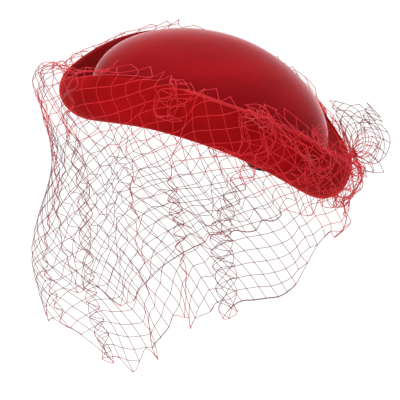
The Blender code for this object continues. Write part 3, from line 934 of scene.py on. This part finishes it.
tuft_angle = math.radians(TUFT_DEGREES)
tuft_axis = np.array((
    math.sin(tuft_angle) * math.cos(TUFT_RISE),
    -math.cos(tuft_angle) * math.cos(TUFT_RISE),
    math.sin(TUFT_RISE),
))
tuft_across = np.array((-math.cos(tuft_angle), -math.sin(tuft_angle), 0.0))
tuft_upward = np.cross(tuft_across, tuft_axis)
(tuft_root,), _ = hang(np.array([float(TUFT_DEGREES)]), TUFT_DOWN, np.zeros(1))
tuft_root = tuft_root + tuft_axis * TUFT_START


def tuft_rows(layer):
    """How far out each row of knots lies when a gathered net opens and its threads keep their length."""
    rows = [0.0]
    while rows[-1] < 2 * TUFT_REACH:
        half_cell = 2 * math.radians(layer.spread) * rows[-1] / layer.cells
        step = math.sqrt(max(TUFT_CELL**2 - half_cell**2, 0))
        rows.append(rows[-1] + max(step, TUFT_CELL * TUFT_LEAST_ROW))
    return rows


def tuft_sheet(layer):
    """One layer of the tuft: a sheet of net gathered to a point at its foot."""
    draws = np.random.default_rng(layer.seed)
    wide = layer.cells * TUFT_CELL * math.sqrt(2)
    x, y = lattice(wide, -TUFT_ROOT, 2 * TUFT_REACH, DIAMOND_LEAN, draws, TUFT_CELL)
    rows = tuft_rows(layer)
    out = np.interp(y, np.arange(len(rows)) * TUFT_CELL / math.sqrt(2), rows)
    turn = 2 * math.pi * x / wide
    reach = layer.reach * (TUFT_REACH + TUFT_LIFT * np.sin(turn))
    kept = (np.abs(x) < wide / 2) & (y > -TUFT_ROOT) & (out < reach)
    share = np.clip(out / reach, 0, 1)
    rise = np.radians(layer.spread) * np.sin(turn)
    ruffle = layer.ruffle * np.sin(layer.ruffles * turn + layer.seed) * share
    side = np.radians(layer.lean * np.cos(turn) + ruffle)
    stem = np.stack([np.minimum(y, 0), TUFT_STEM * np.sin(turn), TUFT_STEM * np.cos(turn)], axis=-1)
    fan = np.stack([np.cos(rise) * np.cos(side), np.sin(rise) * np.cos(side), np.sin(side)], axis=-1)
    axes = np.array([tuft_axis, tuft_upward, tuft_across])
    points = tuft_root + (stem + out[..., None] * fan) @ axes
    hold = np.where(y < TUFT_ROOT, TUFT_STEM_HOLD, TUFT_FAN_HOLD)
    return reddened(settle(points, kept, hold, TUFT_ROUNDS, TUFT_CELL), TUFT_CELL), kept


tuft = net_piece("tuft_netting", [tuft_sheet(layer) for layer in TUFT_LAYERS], net_material)
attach(tuft, "root")
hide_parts("back_tuft")


# Tie: sewing thread wound tight round the tuft's stem in four turns, which holds the gathers and is
# stitched through to the cuff.
TIE_THREAD = 0.85 * MM
TIE_TURNS = 4
TIE_CLEARANCE = 0.7 * MM
TIE_RADIUS = TUFT_STEM + TIE_CLEARANCE
TIE_PITCH = 0.75 * MM
TIE_STEPS = 28
THREAD_RED = (0.500, 0.008, 0.028, 1)

tie_curve = bpy.data.curves.new("tie_thread", "CURVE")
tie_curve.dimensions = "3D"
tie_curve.bevel_depth = TIE_THREAD / 2
tie_curve.bevel_resolution = 2
tie_curve.use_fill_caps = True
winding = tie_curve.splines.new("POLY")
winding.points.add(TIE_TURNS * TIE_STEPS)
for k, point in enumerate(winding.points):
    turn = 2 * math.pi * k / TIE_STEPS
    away = tuft_across * math.cos(turn) + tuft_upward * math.sin(turn)
    place = tuft_root + tuft_axis * (k / TIE_STEPS * TIE_PITCH) + away * TIE_RADIUS
    point.co = (*place, 1)
tie = bpy.data.objects.new("tie_thread", tie_curve)
bpy.context.scene.collection.objects.link(tie)
sewing_thread = bpy.data.materials.new("thread")
sewing_thread.use_nodes = True
thread_shader = sewing_thread.node_tree.nodes["Principled BSDF"]
thread_shader.inputs["Base Color"].default_value = THREAD_RED
thread_shader.inputs["Roughness"].default_value = 0.6
twisted(sewing_thread.node_tree, thread_shader)
tie_curve.materials.append(sewing_thread)
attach(tie, "root")
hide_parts("tuft_tie")


# Comb: a moulded plastic comb stitched by its spine inside the cuff's lip, at the back of the left side.
# Its teeth stand up into the crown, and the middle of its bowed spine just shows below the cuff.
COMB_ANGLE = math.radians(121)
COMB_LENGTH = 30 * MM
COMB_SPINE = 5 * MM
COMB_SHOULDER = 12 * MM
COMB_BELOW_LIP = 8 * MM
COMB_TEETH = 9
COMB_TOOTH_LENGTH = 12 * MM
COMB_TOOTH_SHARE = 0.5
COMB_TOOTH_TAPER = 0.25
COMB_THICKNESS = 1.6 * MM
COMB_CLEARANCE = 0.3 * MM
COMB_ROUNDING = 0.3 * MM
COMB_BLACK = (0.005, 0.005, 0.005, 1)
SHOULDER_STEPS = 8


def comb_outline():
    """The bowed spine from left to right, then the tapering teeth from right to left."""
    half = COMB_LENGTH / 2
    bow = [
        (half - COMB_SHOULDER + COMB_SHOULDER * math.sin(turn), COMB_SPINE * (1 - math.cos(turn)))
        for turn in np.linspace(0, math.pi / 2, SHOULDER_STEPS)
    ]
    points = [(-x, y) for x, y in reversed(bow)] + bow
    pitch = COMB_LENGTH / (COMB_TEETH - 1 + COMB_TOOTH_SHARE)
    tip = COMB_SPINE + COMB_TOOTH_LENGTH
    for tooth in reversed(range(COMB_TEETH)):
        left = -half + tooth * pitch
        right = left + pitch * COMB_TOOTH_SHARE
        taper = (right - left) * COMB_TOOTH_TAPER
        points += [(right, COMB_SPINE), (right - taper, tip), (left + taper, tip), (left, COMB_SPINE)]
    # The spine's two ends are also the first and last points of the teeth
    first_tooth = 2 * SHOULDER_STEPS
    return points[:first_tooth] + points[first_tooth + 1:-1]


def blade_middle(angle, climb):
    """The middle of the comb's blade, from the lip's foot at 0 to its top at 1."""
    height = cuff_line(CUFF_FOLD, angle)[2] + LIP_FOOT + LIP_HEIGHT * climb
    bow = COMB_LENGTH**2 / (8 * CROWN_HALF_WIDTH)
    inset = CROWN_WALL + LIP_CLEARANCE + CUFF_WALL + COMB_CLEARANCE + COMB_THICKNESS / 2 + bow
    return Vector(crown_face(angle, height, inset))


comb_curve = bpy.data.curves.new("hair_comb_piece", "CURVE")
comb_curve.dimensions = "2D"
comb_curve.fill_mode = "BOTH"
comb_curve.extrude = COMB_THICKNESS / 2 - COMB_ROUNDING
comb_curve.bevel_depth = COMB_ROUNDING
comb_curve.bevel_resolution = 1
comb_curve.offset = -COMB_ROUNDING
blade = comb_curve.splines.new("POLY")
comb_points = comb_outline()
blade.points.add(len(comb_points) - 1)
for point, place in zip(blade.points, comb_points):
    point.co = (*place, 0, 1)
blade.use_cyclic_u = True
comb_plastic = bpy.data.materials.new("comb_plastic")
comb_plastic.use_nodes = True
comb_shader = comb_plastic.node_tree.nodes["Principled BSDF"]
comb_shader.inputs["Base Color"].default_value = COMB_BLACK
comb_shader.inputs["Roughness"].default_value = 0.45
comb_shader.inputs["Specular IOR Level"].default_value = 0.15
comb_curve.materials.append(comb_plastic)
comb = bpy.data.objects.new("hair_comb_piece", comb_curve)
bpy.context.scene.collection.objects.link(comb)
comb_foot = blade_middle(COMB_ANGLE, 0)
comb_spread = COMB_LENGTH / (2 * CROWN_HALF_WIDTH)
comb_along = blade_middle(COMB_ANGLE + comb_spread, 0) - blade_middle(COMB_ANGLE - comb_spread, 0)
comb_along = Vector((comb_along.x, comb_along.y, 0)).normalized()
comb_out = comb_along.cross(blade_middle(COMB_ANGLE, 1) - comb_foot).normalized()
comb_up = comb_out.cross(comb_along)
comb_place = Matrix((comb_along, comb_up, comb_out)).transposed().to_4x4()
comb_place.translation = comb_foot - comb_up * COMB_BELOW_LIP
comb.matrix_world = Matrix.Rotation(-HAT_TILT, 4, "X") @ comb_place
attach(comb, "root")
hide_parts("hair_comb")


# Setting: a pale floor well below the hem and soft light from all round, strongest from above.
FLOOR_DROP = 1.3
FLOOR_HALF = 20.0
FLOOR_PALE = (0.88, 0.88, 0.88, 1)
SURROUND_STRENGTH = 1.15

floor_mesh = bpy.data.meshes.new("floor")
floor_height = cad_box[0][2] - FLOOR_DROP
corners = [
    (x * FLOOR_HALF, y * FLOOR_HALF, floor_height) for x, y in ((-1, -1), (1, -1), (1, 1), (-1, 1))
]
floor_mesh.from_pydata(corners, [], [(0, 1, 2, 3)])
floor_material = bpy.data.materials.new("floor")
floor_material.use_nodes = True
floor_shader = floor_material.node_tree.nodes["Principled BSDF"]
floor_shader.inputs["Base Color"].default_value = FLOOR_PALE
floor_shader.inputs["Roughness"].default_value = 1.0
floor_mesh.materials.append(floor_material)
floor = bpy.data.objects.new("floor", floor_mesh)
bpy.context.scene.collection.objects.link(floor)

world = bpy.data.worlds.new("studio")
world.use_nodes = True
surround = world.node_tree.nodes["Background"]
surround.inputs["Color"].default_value = (1, 1, 1, 1)
surround.inputs["Strength"].default_value = SURROUND_STRENGTH
bpy.context.scene.world = world

# Each lamp: its place and size in metres, and its watts
Lamp = namedtuple("Lamp", "name place size watts")
LAMPS = (
    Lamp("top_light", (-0.3, -0.1, 1.6), 1.4, 24),
    Lamp("back_light", (-1.4, 0.8, 0.9), 1.2, 10),
    Lamp("fill_light", (1.7, -1.0, -0.3), 1.4, 15),
)
for lamp in LAMPS:
    data = bpy.data.lights.new(lamp.name, "AREA")
    data.size = lamp.size
    data.energy = lamp.watts
    light = bpy.data.objects.new(lamp.name, data)
    light.location = lamp.place
    light.rotation_euler = (Vector(lamp.place) - SHOT_TARGET).to_track_quat("Z", "Y").to_euler()
    bpy.context.scene.collection.objects.link(light)
bpy.context.scene.view_settings.view_transform = "Standard"
